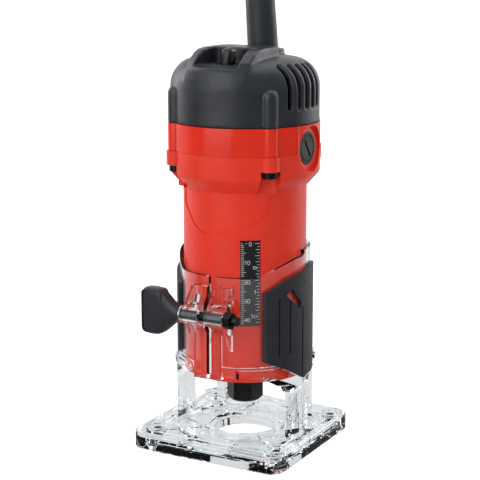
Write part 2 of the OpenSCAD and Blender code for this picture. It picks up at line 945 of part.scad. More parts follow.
module collet_nut() {
  color(black)
    difference() {
      intersection() {
        translate([0, 0, nut_bottom]) rotate([0, 0, 20])
          cylinder(r = nut_af / 2 / cos(30), h = nut_top - nut_bottom, $fn = 6);
        rotate_extrude()
          polygon([[0, nut_bottom], [nut_af / 2 - 0.4, nut_bottom],
                   [nut_af / 2 + 1.5, nut_bottom + 1.8], [nut_af / 2 + 1.5, nut_top - 0.8],
                   [nut_af / 2 + 0.4, nut_top], [0, nut_top]]);
      }
      translate([0, 0, nut_bottom - 1]) cylinder(r = 4.5, h = 10);
      translate([0, 0, nut_bottom + 3.2]) cylinder(r1 = 4.5, r2 = 5.9, h = 1.4);
      translate([0, 0, nut_bottom + 4.5]) cylinder(r = 7.36, h = 20);
    }
}

// ---- Cord ---------------------------------------------------------------------------

cord_route = [
  [-2.8, 18, 261.2], [-3.5, 17.6, 275], [-3, 17.8, 289], [0.2, 19, 303], [6.8, 21.4, 316.5],
  [16.5, 25, 328.5], [29, 29.4, 338.5], [44, 34.2, 346], [60, 39.4, 350], [77, 44.7, 350.5],
  [93, 49.7, 347], [108, 54.4, 339.5], [120.5, 58.4, 328.5], [130.5, 61.7, 314.5],
  [138, 64.2, 297.5], [143, 66, 277], [145.8, 67, 252], [146.6, 67.3, 223], [146.6, 67.4, 192],
  [146.5, 67.4, 162], [146.5, 67.4, 132], [146.5, 67.3, 102], [146.5, 67.2, 74],
  [146.5, 67.1, 54], [146.5, 67.1, 40], [146.5, 65.9, 29.5], [146.5, 62.6, 21.3],
  [146.5, 57.4, 14.3], [146.5, 50.8, 8.9], [146.5, 43, 5.5], [146.5, 34.6, 4.3]];

function unit(v) = v / norm(v);
function tangent(p, i) = unit(p[min(i + 1, len(p) - 1)] - p[max(i - 1, 0)]);
function ring_points(p, t, r, sides) =
  let (u = unit(cross(t, [0, 1, 0.01])), w = cross(t, u))
  [for (k = [0:sides - 1]) p + r * (cos(k * 360 / sides) * u + sin(k * 360 / sides) * w)];

// A tube of flat-sided rings swept along a route.
module tube(route, r, sides) {
  n = len(route);
  points = [for (i = [0:n - 1]) each ring_points(route[i], tangent(route, i), r, sides)];
  walls = [for (i = [0:n - 2], k = [0:sides - 1])
    let (a = i * sides, b = a + sides, m = (k + 1) % sides)
    each [[a + k, a + m, b + m], [a + k, b + m, b + k]]];
  first = [for (k = [sides - 1:-1:0]) k];
  last = [for (k = [0:sides - 1]) (n - 1) * sides + k];
  polyhedron(points = points, faces = concat([first], walls, [last]));
}

module cord() {
  color(black) tube(cord_route, cord_d / 2, 8);
}

module cord_coil() {
  color(black)
    translate([coil_x, coil_y, coil_lift]) ring(coil_out, coil_in, 0, coil_h);
}

// A strap round the coil's section.
module coil_tie() {
  t = 0.7;
  a = tie_angle + 90;
  color("dimgray")
    translate([coil_x, coil_y, 0])
      difference() {
        sector(coil_out + 0.3 + t, coil_in - 0.3 - t, coil_lift - 0.05 - t,
               coil_lift + coil_h + 0.05 + t, a - 8, a + 8);
        sector(coil_out + 0.3, coil_in - 0.3, coil_lift - 0.05, coil_lift + coil_h + 0.05,
               a - 9, a + 9);
      }
}

// A two-pin mains plug with a round face and flat sides, lying on the coil.
module plug() {
  color(black)
    translate([plug_x, plug_y, plug_z]) rotate([-90, 0, 0])
      union() {
        intersection() {
          cylinder(r = 17.4, h = plug_len);
          translate([-20, -plug_t / 2, 0]) cube([40, plug_t, plug_len]);
          cylinder(r1 = 12.5, r2 = 36, h = plug_len);
        }
        translate([0, 0, -20]) cylinder(r1 = 4.6, r2 = 7.2, h = 20.5);
      }
}

module plug_pins() {
  color(steel)
    translate([plug_x, plug_y + plug_len + 0.02, plug_z]) rotate([-90, 0, 0])
      for (x = [-9.5, 9.5]) translate([x, 0, 0]) {
        cylinder(r = 2.4, h = 17);
        translate([0, 0, 17]) cylinder(r1 = 2.4, r2 = 1.2, h = 2);
      }
}

clear_base();
sole_plate();
sole_screws();
right_grip();
left_grip();
clamp_nut();
clamp_washer();
clamp_screw();
clamp_knob();
motor_housing();
upper_ring();
top_cap();
scale_plate();
housing_screws();
brush_cap_right();
brush_cap_left();
brush_holder_right();
brush_holder_left();
carbon_brushes();
brush_springs();
switch_body();
switch_plate();
switch_lever();
cord_guard();
cord_clamp();
cord_clamp_screws();
stator_core();
field_coil_front();
field_coil_back();
air_baffle();
bearing_retainer();
lower_bearing_outer();
lower_bearing_inner();
lower_bearing_balls();
upper_bearing_outer();
upper_bearing_inner();
upper_bearing_balls();
spindle();
armature_core();
armature_windings();
commutator();
fan();
spindle_ring();
collet();
collet_nut();
cord();
cord_coil();
coil_tie();
plug();
plug_pins();
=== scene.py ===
import bmesh
import bpy
import json
import math
from mathutils import Matrix, Vector

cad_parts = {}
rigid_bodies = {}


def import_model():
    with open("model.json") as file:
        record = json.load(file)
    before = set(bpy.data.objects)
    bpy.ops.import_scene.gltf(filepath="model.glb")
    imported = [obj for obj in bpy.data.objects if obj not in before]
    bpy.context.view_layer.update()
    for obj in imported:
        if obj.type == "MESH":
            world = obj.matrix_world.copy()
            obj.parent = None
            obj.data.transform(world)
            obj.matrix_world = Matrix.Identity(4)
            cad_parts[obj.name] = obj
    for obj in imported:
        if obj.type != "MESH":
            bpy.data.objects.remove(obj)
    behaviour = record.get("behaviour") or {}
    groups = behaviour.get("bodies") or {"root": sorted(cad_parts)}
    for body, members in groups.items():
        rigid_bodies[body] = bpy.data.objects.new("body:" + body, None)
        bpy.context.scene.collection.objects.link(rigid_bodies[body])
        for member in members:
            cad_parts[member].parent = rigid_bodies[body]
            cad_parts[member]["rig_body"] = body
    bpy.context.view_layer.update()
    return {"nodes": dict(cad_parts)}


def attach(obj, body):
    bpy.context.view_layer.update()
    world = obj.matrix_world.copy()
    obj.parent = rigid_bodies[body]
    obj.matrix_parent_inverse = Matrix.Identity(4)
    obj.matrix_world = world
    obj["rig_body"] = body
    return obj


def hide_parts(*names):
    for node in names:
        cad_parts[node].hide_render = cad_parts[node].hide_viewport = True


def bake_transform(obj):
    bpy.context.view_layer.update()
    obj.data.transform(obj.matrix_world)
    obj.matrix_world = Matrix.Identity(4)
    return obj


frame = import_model()
CAD = frame["nodes"]
BODY = {n: o["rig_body"] for n, o in CAD.items()}
MM = 0.001
scene = bpy.context.scene

# The camera's plan direction: it stands at (VIEW_X, -VIEW_Y) from the object.
VIEW_X, VIEW_Y = 0.4835, 0.8754
CAMERA_PLACE = (0.346477, -0.627245, 0.265114)
CAMERA_TURN = 28.9154       # degrees about z
CAMERA_DIP = 0.2047         # radians below level
CAMERA_LENS = 103.56        # mm, on a sensor this wide
CAMERA_SENSOR = 36
CAMERA_SHIFT = (-0.0106, -0.0291)

# ---- Camera ---------------------------------------------------------------------
cam_data = bpy.data.cameras.new("camera")
cam = bpy.data.objects.new("camera", cam_data)
scene.collection.objects.link(cam)
cam.location = CAMERA_PLACE
cam.rotation_euler = (math.pi / 2 - CAMERA_DIP, 0, math.radians(CAMERA_TURN))
cam_data.lens = CAMERA_LENS
cam_data.sensor_width = CAMERA_SENSOR
cam_data.shift_x, cam_data.shift_y = CAMERA_SHIFT
cam_data.clip_start = 0.01
scene.camera = cam


# ---- Mesh helpers ---------------------------------------------------------------
def new_object(name, bm, body, mat, sharp):
    """Makes a smooth-shaded piece of a bmesh. Edges over sharp degrees stay sharp."""
    mesh = bpy.data.meshes.new(name)
    bmesh.ops.recalc_face_normals(bm, faces=bm.faces)
    bm.to_mesh(mesh)
    bm.free()
    for p in mesh.polygons:
        p.use_smooth = True
    if sharp:
        mesh.set_sharp_from_angle(angle=math.radians(sharp))
    o = bpy.data.objects.new(name, mesh)
    scene.collection.objects.link(o)
    o.data.materials.append(mat)
    if body:
        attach(o, body)
    return o


def round_path(points, step):
    """A smooth line through the points, with a point about every step."""
    out = []
    n = len(points)
    for i in range(n - 1):
        p0, p1 = points[max(i - 1, 0)], points[i]
        p2, p3 = points[i + 1], points[min(i + 2, n - 1)]
        k = max(1, round((p2 - p1).length / step))
        for j in range(k):
            t = j / k
            out.append(0.5 * (2 * p1 + (p2 - p0) * t + (2 * p0 - 5 * p1 + 4 * p2 - p3) * t * t
                              + (3 * p1 - p0 - 3 * p2 + p3) * t ** 3))
    out.append(points[-1])
    return out


def sweep(bm, path, radius, sides, closed=False):
    """A tube along path, with closed ends unless the path is a closed ring."""
    n = len(path)
    tangents = []
    for i in range(n):
        a = path[(i - 1) % n] if closed or i > 0 else path[0]
        b = path[(i + 1) % n] if closed or i < n - 1 else path[-1]
        tangents.append((b - a).normalized())
    up = Vector((0, 0, 1)) if abs(tangents[0].z) < 0.9 else Vector((1, 0, 0))
    side = tangents[0].cross(up).normalized()
    rings = []
    for i in range(n):
        t = tangents[i]
        side = (side - t * side.dot(t)).normalized()
        other = t.cross(side)
        round_it = [2 * math.pi * k / sides for k in range(sides)]
        rings.append([bm.verts.new(path[i] + (side * math.cos(a) + other * math.sin(a)) * radius)
                      for a in round_it])
    last = n if closed else n - 1
    for i in range(last):
        a, b = rings[i], rings[(i + 1) % n]
        for k in range(sides):
            bm.faces.new((a[k], a[(k + 1) % sides], b[(k + 1) % sides], b[k]))
    if not closed:
        for r in (rings[0], rings[-1]):
            bm.faces.new(r)


def loft(bm, sections):
    """A closed solid of rings with the same number of points, joined in order."""
    rings = [[bm.verts.new(p) for p in s] for s in sections]
    for a, b in zip(rings, rings[1:]):
        for k in range(len(a)):
            bm.faces.new((a[k], a[(k + 1) % len(a)], b[(k + 1) % len(a)], b[k]))
    bm.faces.new(rings[0])
    bm.faces.new(rings[-1])


def oval(a, b, n, count):
    """Points of a superellipse with half axes a and b and exponent n."""
    out = []
    for k in range(count):
        t = 2 * math.pi * (k + 0.5) / count
        c, s = math.cos(t), math.sin(t)
        out.append((a * math.copysign(abs(c) ** (2 / n), c),
                    b * math.copysign(abs(s) ** (2 / n), s)))
    return out


def cad_bmesh(node):
    """The node's CAD mesh with its doubled points joined."""
    bm = bmesh.new()
    bm.from_mesh(CAD[node].data)
    bmesh.ops.remove_doubles(bm, verts=bm.verts, dist=1e-6)
    return bm


def eased(node, mat, width):
    """A copy of a CAD node with its hard edges eased, which stands for the node."""
    flat_angle, hard_angle = 0.3, 28        # degrees
    bm = cad_bmesh(node)
    bmesh.ops.dissolve_limit(bm, angle_limit=math.radians(flat_angle), verts=bm.verts,
                             edges=bm.edges)
    hard = [e for e in bm.edges if len(e.link_faces) == 2
            and e.calc_face_angle(0) > math.radians(hard_angle)]
    bmesh.ops.bevel(bm, geom=hard, offset=width, segments=2, profile=0.5,
                    affect="EDGES", clamp_overlap=True)
    o = new_object(node + "_eased", bm, BODY[node], mat, 40)
    m = o.modifiers.new("normals", "WEIGHTED_NORMAL")
    m.keep_sharp = True
    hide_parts(node)
    return o


def moulded(node, mat, voxel, rounds):
    """A copy of a CAD node with every edge rounded as moulded, which stands for the node."""
    bm = cad_bmesh(node)
    o = new_object(node + "_moulded", bm, None, mat, None)
    m = o.modifiers.new("voxels", "REMESH")
    m.mode = "VOXEL"
    m.voxel_size = voxel
    m.use_smooth_shade = True
    s = o.modifiers.new("soften", "SMOOTH")
    s.factor = 0.5
    s.iterations = rounds
    bpy.context.view_layer.update()
    shaped = o.evaluated_get(bpy.context.evaluated_depsgraph_get())
    mesh = bpy.data.meshes.new_from_object(shaped)
    o.modifiers.clear()
    o.data = mesh
    if not mesh.materials:
        mesh.materials.append(mat)
    for p in mesh.polygons:
        p.use_smooth = True
    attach(o, BODY[node])
    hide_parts(node)
    return o


def wrap(radius, u, v, a0):
    """The point u mm round from a0 degrees and v mm up, on a cylinder of that radius."""
    a = math.radians(a0) + u / radius
    return Vector((radius * math.sin(a), -radius * math.cos(a), v)) * MM


def stroke(bm, points, width, radius, a0):
    """A raised line along points (u, v) on a cylinder, in mm."""
    proud, sunk = 0.03, 0.03
    for (u0, v0), (u1, v1) in zip(points, points[1:]):
        d = Vector((u1 - u0, v1 - v0))
        if d.length < 1e-6:
            continue
        d.normalize()
        nx, ny = -d.y * width / 2, d.x * width / 2
        ex, ey = d.x * width * 0.35, d.y * width * 0.35
        quad = [(u0 + nx - ex, v0 + ny - ey), (u0 - nx - ex, v0 - ny - ey),
                (u1 - nx + ex, v1 - ny + ey), (u1 + nx + ex, v1 + ny + ey)]
        hi = [bm.verts.new(wrap(radius + proud, u, v, a0)) for u, v in quad]
        lo = [bm.verts.new(wrap(radius - sunk, u, v, a0)) for u, v in quad]
        bm.faces.new(hi)
        bm.faces.new(lo[::-1])
        for k in range(4):
            bm.faces.new((hi[k], lo[k], lo[(k + 1) % 4], hi[(k + 1) % 4]))


def arc(cx, cy, rx, ry, a0, a1, n):
    """Points of an arc of an ellipse from a0 to a1 degrees, in n steps."""
    return [(cx + rx * math.cos(math.radians(a0 + (a1 - a0) * i / n)),
             cy + ry * math.sin(math.radians(a0 + (a1 - a0) * i / n))) for i in range(n + 1)]


# Each character's strokes, in a box one unit high.
DIGITS = {
    "0": [arc(0.3, 0.68, 0.3, 0.32, 0, 180, 8) + arc(0.3, 0.32, 0.3, 0.32, 180, 360, 8)
          + [(0.6, 0.68)]],
    "1": [[(0.12, 0.78), (0.34, 1), (0.34, 0)]],
    "2": [arc(0.3, 0.7, 0.28, 0.3, 165, -35, 8) + [(0.03, 0.02), (0.6, 0.02)]],
    "3": [arc(0.28, 0.74, 0.27, 0.26, 150, -85, 8), arc(0.28, 0.27, 0.31, 0.27, 88, -150, 9)],
    "4": [[(0.44, 0), (0.44, 1), (0.02, 0.3), (0.62, 0.3)]],
    "/": [[(0.0, -0.1), (0.42, 1.1)]],
}


def numeral(bm, text, u, v, height, radius, a0, width):
    """A number centred on (u, v)."""
    advance = 0.78 * height
    u -= (len(text) - 1) * advance / 2 + 0.3 * height
    for ch in text:
        for line in DIGITS[ch]:
            stroke(bm, [(u + x * height, v + (y - 0.5) * height) for x, y in line], width,
                   radius, a0)
        u += advance


# ---- Materials ------------------------------------------------------------------
class Look:
    """A node material with one Principled shader, and small helpers to wire it."""

    def __init__(self, name, rgb, rough, metal=0.0, **sockets):
        self.mat = bpy.data.materials.new(name)
        self.mat.use_nodes = True
        self.t = self.mat.node_tree
        self.p = self.t.nodes["Principled BSDF"]
        self.p.inputs["Base Color"].default_value = (*rgb, 1)
        self.p.inputs["Roughness"].default_value = rough
        self.p.inputs["Metallic"].default_value = metal
        for k, v in sockets.items():
            self.p.inputs[k.replace("_", " ")].default_value = v
        self.coord = self.t.nodes.new("ShaderNodeTexCoord")
        self.last_bump = None

    def link(self, a, b):
        self.t.links.new(a, b)

    def noise(self, size, detail, rough, stretch=None):
        """Soft noise with features about that size in metres."""
        n = self.t.nodes.new("ShaderNodeTexNoise")
        n.inputs["Scale"].default_value = 1 / size
        n.inputs["Detail"].default_value = detail
        n.inputs["Roughness"].default_value = rough
        if stretch:
            m = self.t.nodes.new("ShaderNodeMapping")
            m.inputs["Scale"].default_value = stretch
            self.link(self.coord.outputs["Object"], m.inputs["Vector"])
            self.link(m.outputs["Vector"], n.inputs["Vector"])
        else:
            self.link(self.coord.outputs["Object"], n.inputs["Vector"])
        return n.outputs["Fac"]

    def bands(self, period, axis, distortion):
        """Stripes across an axis, one about every period."""
        wave_at_scale_1 = 0.31416
        n = self.t.nodes.new("ShaderNodeTexWave")
        n.bands_direction = axis
        n.inputs["Scale"].default_value = wave_at_scale_1 / period
        n.inputs["Distortion"].default_value = distortion
        self.link(self.coord.outputs["Object"], n.inputs["Vector"])
        return n.outputs["Fac"]

    def span(self, value, lo, hi, a, b):
        """Maps value from lo..hi to a..b."""
        n = self.t.nodes.new("ShaderNodeMapRange")
        n.inputs["From Min"].default_value = lo
        n.inputs["From Max"].default_value = hi
        n.inputs["To Min"].default_value = a
        n.inputs["To Max"].default_value = b
        self.link(value, n.inputs["Value"])
        return n.outputs["Result"]

    def tone(self, value, lo, hi, dark, light):
        """Colours the shader from dark to light as value goes from lo to hi."""
        n = self.t.nodes.new("ShaderNodeMix")
        n.data_type = "RGBA"
        self.link(self.span(value, lo, hi, 0, 1), n.inputs["Factor"])
        # A Mix node has sockets for each type of data, so the colours are picked by type.
        ends = [e for e in n.inputs if e.type == "RGBA"]
        ends[0].default_value = (*dark, 1)
        ends[1].default_value = (*light, 1)
        out = [e for e in n.outputs if e.type == "RGBA"][0]
        self.link(out, self.p.inputs["Base Color"])
        return out

    def roughen(self, value, lo, hi, a, b):
        """Sets the roughness from a to b as value goes from lo to hi."""
        self.link(self.span(value, lo, hi, a, b), self.p.inputs["Roughness"])

    def bump(self, value, distance, strength=1.0):
        """Adds relief of that height in metres, over any relief added before."""
        n = self.t.nodes.new("ShaderNodeBump")
        n.inputs["Strength"].default_value = strength
        n.inputs["Distance"].default_value = distance
        self.link(value, n.inputs["Height"])
        if self.last_bump is not None:
            self.link(self.last_bump, n.inputs["Normal"])
        self.last_bump = n.outputs["Normal"]
        self.link(self.last_bump, self.p.inputs["Normal"])


def shade(rgb, k):
    """The colour made k times as bright."""
    return tuple(min(1.0, c * k) for c in rgb)


def plastic(name, rgb, rough, grain, depth, tone, **sockets):
    """Moulded plastic: a fine grained skin, slight mottling and worn, shinier patches."""
    m = Look(name, rgb, rough, **sockets)
    m.tone(m.noise(0.018, 4, 0.6), 0.35, 0.65, shade(rgb, 1 - tone), shade(rgb, 1 + tone))
    m.roughen(m.noise(0.011, 3, 0.5), 0.3, 0.7, rough * 0.75, rough * 1.25)
    m.bump(m.noise(grain, 2, 0.5), depth)
    return m.mat


def metal(name, rgb, rough, stretch=(1, 1, 1), wear=0.35):
    """Machined or plated metal: fine tool lines, patches of handling and slight tarnish."""
    m = Look(name, rgb, rough, metal=1.0)
    lines = m.noise(0.0006, 3, 0.6, stretch)
    m.tone(m.noise(0.006, 5, 0.65), 0.3, 0.7, shade(rgb, 1 - wear),
           shade(rgb, 1 + wear * 0.35))
    m.roughen(lines, 0.3, 0.7, rough * 0.7, rough * 1.45)
    m.bump(lines, 0.000012, 0.8)
    return m.mat


RED = plastic("red_plastic", (0.80, 0.032, 0.010), 0.36, 0.0005, 0.000008, 0.05,
              Specular_IOR_Level=0.38)
RED_GLOSS = plastic("red_plastic_gloss", (0.76, 0.028, 0.010), 0.13, 0.0008, 0.000003, 0.04)
CHARCOAL = plastic("charcoal_plastic", (0.020, 0.022, 0.026), 0.36, 0.00035, 0.00002, 0.10)
KNOB = plastic("knob_plastic", (0.020, 0.022, 0.025), 0.36, 0.00035, 0.00002, 0.10)
SWITCH = plastic("switch_plastic", (0.014, 0.014, 0.015), 0.34, 0.0003, 0.00002, 0.12)
CAP = plastic("brush_cap_plastic", (0.012, 0.012, 0.012), 0.5, 0.0003, 0.00002, 0.12,
              Specular_IOR_Level=0.3)
PLUG = plastic("plug_plastic", (0.016, 0.016, 0.017), 0.42, 0.0004, 0.00003, 0.15)
FAN = plastic("fan_plastic", (0.06, 0.06, 0.058), 0.42, 0.0005, 0.00002, 0.15)
HOLDER = plastic("holder_plastic", (0.05, 0.032, 0.02), 0.4, 0.0004, 0.00002, 0.2)
SCALE = plastic("scale_black", (0.012, 0.012, 0.013), 0.36, 0.0003, 0.00001, 0.15)
MARKS = plastic("scale_marks", (0.80, 0.80, 0.77), 0.5, 0.0003, 0.00001, 0.05)
TIE = plastic("tie_strap", (0.02, 0.02, 0.022), 0.55, 0.0004, 0.00003, 0.15)


def rubber(name, rgb, rough):
    """Matt rubber: a fine skin, a slow unevenness and handled patches."""
    m = Look(name, rgb, rough)
    m.tone(m.noise(0.012, 5, 0.65), 0.3, 0.7, shade(rgb, 0.82), shade(rgb, 1.22))
    m.roughen(m.noise(0.005, 4, 0.6), 0.3, 0.7, rough * 0.85, min(1, rough * 1.15))
    m.bump(m.noise(0.00028, 3, 0.6), 0.00004)
    m.bump(m.noise(0.0035, 2, 0.5), 0.00003, 0.6)
    return m.mat


GRIP = rubber("grip_rubber", (0.019, 0.021, 0.025), 0.55)
CORD = rubber("cord_rubber", (0.020, 0.020, 0.021), 0.50)
GUARD = rubber("guard_rubber", (0.019, 0.021, 0.025), 0.48)

BLACK_STEEL = metal("black_steel", (0.035, 0.034, 0.034), 0.34, wear=0.4)
STEEL = metal("steel", (0.62, 0.62, 0.63), 0.24, (1, 1, 9))
BEARING = metal("bearing_steel", (0.70, 0.70, 0.71), 0.14, (1, 1, 6), 0.15)
BRASS = metal("brass", (0.78, 0.55, 0.24), 0.28, (1, 1, 6))
COMM = metal("commutator_copper", (0.82, 0.42, 0.24), 0.26, (1, 1, 10))


def winding():
    """Varnished copper wire, laid in turns."""
    m = Look("copper", (0.50, 0.17, 0.06), 0.32, metal=0.75, Coat_Weight=0.6,
             Coat_Roughness=0.18)
    wires = m.bands(0.0006, "DIAGONAL", 1.2)
    m.tone(wires, 0.1, 0.9, (0.24, 0.07, 0.025), (0.62, 0.23, 0.09))
    m.roughen(m.noise(0.002, 4, 0.6), 0.3, 0.7, 0.24, 0.42)
    m.bump(wires, 0.00022)
    return m.mat


def lamination():
    """A stack of thin steel sheets."""
    m = Look("lamination", (0.33, 0.34, 0.35), 0.42, metal=0.9)
    sheets = m.bands(0.0005, "Z", 0.0)
    m.tone(sheets, 0.05, 0.6, (0.12, 0.12, 0.13), (0.38, 0.39, 0.41))
    m.roughen(m.noise(0.004, 4, 0.6), 0.3, 0.7, 0.34, 0.55)
    m.bump(sheets, 0.00006)
    return m.mat


def carbon():
    """Pressed carbon with a fine grain."""
    m = Look("carbon", (0.025, 0.025, 0.027), 0.55, metal=0.2)
    m.tone(m.noise(0.0007, 5, 0.7), 0.35, 0.65, (0.015, 0.015, 0.016), (0.05, 0.05, 0.052))
    m.roughen(m.noise(0.0012, 4, 0.6), 0.3, 0.7, 0.4, 0.7)
    m.bump(m.noise(0.0004, 4, 0.6), 0.00003)
    return m.mat


COPPER = winding()
LAMINATION = lamination()
CARBON = carbon()


def clear(name, rgb, rough):
    """Clear plastic. Its shadow is a thin tint, so that what stands behind it is lit."""
    m = Look(name, rgb, rough, IOR=1.42, Transmission_Weight=1.0)
    m.roughen(m.noise(0.012, 4, 0.6), 0.35, 0.7, rough * 0.5, rough * 1.8)
    m.bump(m.noise(0.02, 1, 0.4), 0.00002, 0.3)
    m.tone(m.noise(0.03, 2, 0.5), 0.3, 0.7, shade(rgb, 0.99), rgb)
    out = m.t.nodes["Material Output"]
    ray = m.t.nodes.new("ShaderNodeLightPath")
    thin = m.t.nodes.new("ShaderNodeBsdfTransparent")
    thin.inputs["Color"].default_value = (0.97, 0.98, 0.985, 1)
    mix = m.t.nodes.new("ShaderNodeMixShader")
    m.link(ray.outputs["Is Shadow Ray"], mix.inputs["Fac"])
    m.link(m.p.outputs["BSDF"], mix.inputs[1])
    m.link(thin.outputs["BSDF"], mix.inputs[2])
    m.link(mix.outputs["Shader"], out.inputs["Surface"])
    return m.mat


CLEAR = clear("clear_plastic", (0.925, 0.945, 0.957), 0.006)

# ---- Cord: an arch from the guard, a fall to the floor, and a wound coil (mm) --------
CORD_RADIUS = 3.5
CORD_EXIT = (-2.8, 18, 261.2)
COIL_X, COIL_Y = 193.5, 8.0
COIL_RADIUS = 47            # of the outer turns
TURN_IN = 7                 # how much smaller each inner turn is, and the rise of a layer
LOW_LAYER, HIGH_LAYER = 4.3, 11.3
COIL_TURN = 1810            # degrees wound
LEAVE_TURN = 72.4           # degrees along the coil while the cord starts to rise to the plug
BEND_X, BEND_Y, BEND_RADIUS = 187.5, -8, 30
PLUG_X, PLUG_Z = 217.5, 24
PLUG_RISE = 12.7

route = [Vector(p) for p in (
    CORD_EXIT, (-3.5, 17.6, 275), (-3, 17.8, 289), (0.2, 19, 303), (6.8, 21.4, 316.5),
    (16.5, 25, 328.5), (29, 29.4, 338.5), (44, 34.2, 346), (60, 39.4, 350), (77, 44.7, 350.5),
    (93, 49.7, 347), (108, 54.4, 339.5), (120.5, 58.4, 328.5), (130.5, 61.7, 314.5),
    (138, 64.2, 297.5), (143, 66, 277), (145.8, 67, 252), (146.6, 67.3, 223),
    (146.6, 67.4, 192), (146.5, 67.4, 162), (146.5, 67.4, 132), (146.5, 67.3, 102),
    (146.5, 67.2, 74), (146.5, 67.1, 54), (146.5, 67.1, 40), (146.5, 65.9, 29.5),
    (146.5, 62.6, 21.3), (146.5, 57.4, 14.3), (146.5, 50.8, 8.9), (146.5, 43, 5.5),
    (146.5, 22, LOW_LAYER))]


def ease(t):
    """0 to 1 with a soft start and end."""
    return (1 - math.cos(math.pi * min(max(t, 0.0), 1.0))) / 2


def coil_point(psi):
    """A point of the wound cord. psi is how far it has turned, in degrees."""
    r = COIL_RADIUS - TURN_IN * (ease((psi - 250) / 150) + ease((psi - 610) / 150)) \
        + TURN_IN * (ease((psi - 1080) / 150) + ease((psi - 1440) / 150))
    z = LOW_LAYER + TURN_IN * ease((psi - 870) / 100)
    a = math.radians(180 + psi)
    return Vector((COIL_X + r * math.cos(a), COIL_Y + r * math.sin(a), z))


line = route + [coil_point(psi) for psi in range(0, COIL_TURN + 1, 6)]
leave = math.radians(LEAVE_TURN) * COIL_RADIUS
rise = leave + math.pi / 2 * BEND_RADIUS
done = 0.0
for i in range(1, 16):
    a = math.radians(190 + LEAVE_TURN * i / 15)
    done = math.radians(LEAVE_TURN * i / 15) * COIL_RADIUS
    line.append(Vector((COIL_X + COIL_RADIUS * math.cos(a), COIL_Y + COIL_RADIUS * math.sin(a),
                        HIGH_LAYER + PLUG_RISE * ease(done / rise))))
for i in range(1, 13):
    a = math.radians(270 + 90 * i / 12)
    along = done + math.pi / 2 * BEND_RADIUS * i / 12
    line.append(Vector((BEND_X + BEND_RADIUS * math.cos(a), BEND_Y + BEND_RADIUS * math.sin(a),
                        HIGH_LAYER + PLUG_RISE * ease(along / rise))))
line = round_path(line, 2.6)
for _ in range(3):
    line = [line[0]] + [(line[i - 1] + 2 * line[i] + line[i + 1]) / 4
                        for i in range(1, len(line) - 1)] + [line[-1]]
path = [p * MM for p in line]
bm = bmesh.new()
sweep(bm, path, CORD_RADIUS * MM, 16)
cord = new_object("cord_run", bm, None, CORD, 60)
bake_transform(cord)
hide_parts("cord", "cord_coil")


# ---- Knob: a flat paddle lofted from a round neck, with a raised border (mm) --------
KNOB_X, KNOB_Y, KNOB_Z = -13.4, -43.0, 76.8
# Each section: how far out, half height, half thickness, how square the outline is.
PADDLE = ((0, 3.9, 3.9, 2), (1.2, 4.0, 3.9, 2), (2.6, 4.8, 3.9, 2.1), (4.5, 6.3, 3.85, 2.4),
          (6.5, 8.0, 3.8, 2.8), (8.5, 9.8, 3.8, 3.3), (10.4, 11.2, 3.8, 4),
          (12.2, 12.1, 3.75, 5), (14.5, 12.5, 3.7, 6), (18, 12.5, 3.6, 6),
          (20.6, 12.2, 3.4, 6), (21.8, 11.6, 3.1, 5), (22.4, 10.7, 2.6, 4.4),
          (22.65, 9.4, 1.8, 4))
bm = bmesh.new()
loft(bm, [[Vector((KNOB_X - out, KNOB_Y + y, KNOB_Z + z)) * MM
           for z, y in oval(height, thick, square, 64)]
          for out, height, thick, square in PADDLE])
knob = new_object("knob_paddle", bm, None, KNOB, 60)
knob_smooth = knob.modifiers.new("smooth", "SUBSURF")
knob_smooth.levels = 1
knob_smooth.render_levels = 2
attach(knob, "clamp_handle")
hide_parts("clamp_knob")

BORDER_CORNERS = ((-33.2, 85.6, 90), (-26.2, 85.6, 0), (-26.2, 68.0, -90), (-33.2, 68.0, -180))
BORDER_ROUND = 2.4
bm = bmesh.new()
for side in (-1, 1):
    loop = []
    for corner_x, corner_z, start in BORDER_CORNERS:
        for k in range(9):
            t = math.radians(start + 90 - 90 * k / 8)
            loop.append(Vector((corner_x + BORDER_ROUND * math.cos(t), 0,
                                corner_z + BORDER_ROUND * math.sin(t))))
    for p in loop:
        # The border follows the paddle's face, which thins towards its end.
        out = -p.x + KNOB_X
        p.y = KNOB_Y + side * (3.56 - 0.11 * max(0, out - 14.5) / 3.5
                               - 0.2 * max(0, out - 18.4) / 3.8)
        p *= MM
    sweep(bm, loop, 0.00045, 10, closed=True)
new_object("knob_border", bm, "clamp_handle", KNOB, 70)

# ---- Switch lever: a leaning finger with grip lines, on a round hub (mm) ------------
PIVOT = Vector((1, -20.8, 199.3))
LEAN = Matrix.Rotation(math.radians(8), 4, "Y")
# Each section: how far up, half width, half depth, how square the outline is.
FINGER = ((0.2, 2.6, 3.7, 3), (3, 2.8, 3.85, 3.2), (7, 2.95, 4.0, 3.4), (10, 2.95, 4.0, 3.2),
          (11.2, 2.8, 3.8, 3), (12.1, 2.35, 3.3, 2.8), (12.55, 1.6, 2.5, 2.4),
          (12.7, 0.7, 1.4, 2))


def on_lever(x, y, z):
    return (PIVOT + LEAN @ Vector((x, y, z))) * MM


bm = bmesh.new()
loft(bm, [[on_lever(x, y, up) for x, y in oval(wide, deep, square, 40)]
          for up, wide, deep, square in FINGER])
for k in range(5):
    for side in (-1, 1):
        sweep(bm, [on_lever(side * 2.93, y, 6.6 + 1.15 * k)
                   for y in (-2.6, -1.3, 0, 1.3, 2.6)], 0.00022, 8)
sweep(bm, [(PIVOT + Vector((0, y, 0))) * MM for y in (-3.5, -1.7, 0, 1.7, 3.5)], 0.0032, 32)
lever = new_object("lever_finger", bm, "switch_toggle", SWITCH, 60)
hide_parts("switch_lever")

# ---- Depth scale: millimetres on the left edge, sixteenths on the right (mm) --------
SCALE_RADIUS, SCALE_TURN = 32.45, 24.6
SCALE_WIDTH = math.radians(18) * SCALE_RADIUS
ZERO, SCALE_FOOT = 113.9, 71.6
MARGIN, TICK = 0.35, 0.18
SIXTEENTH = 1.5875


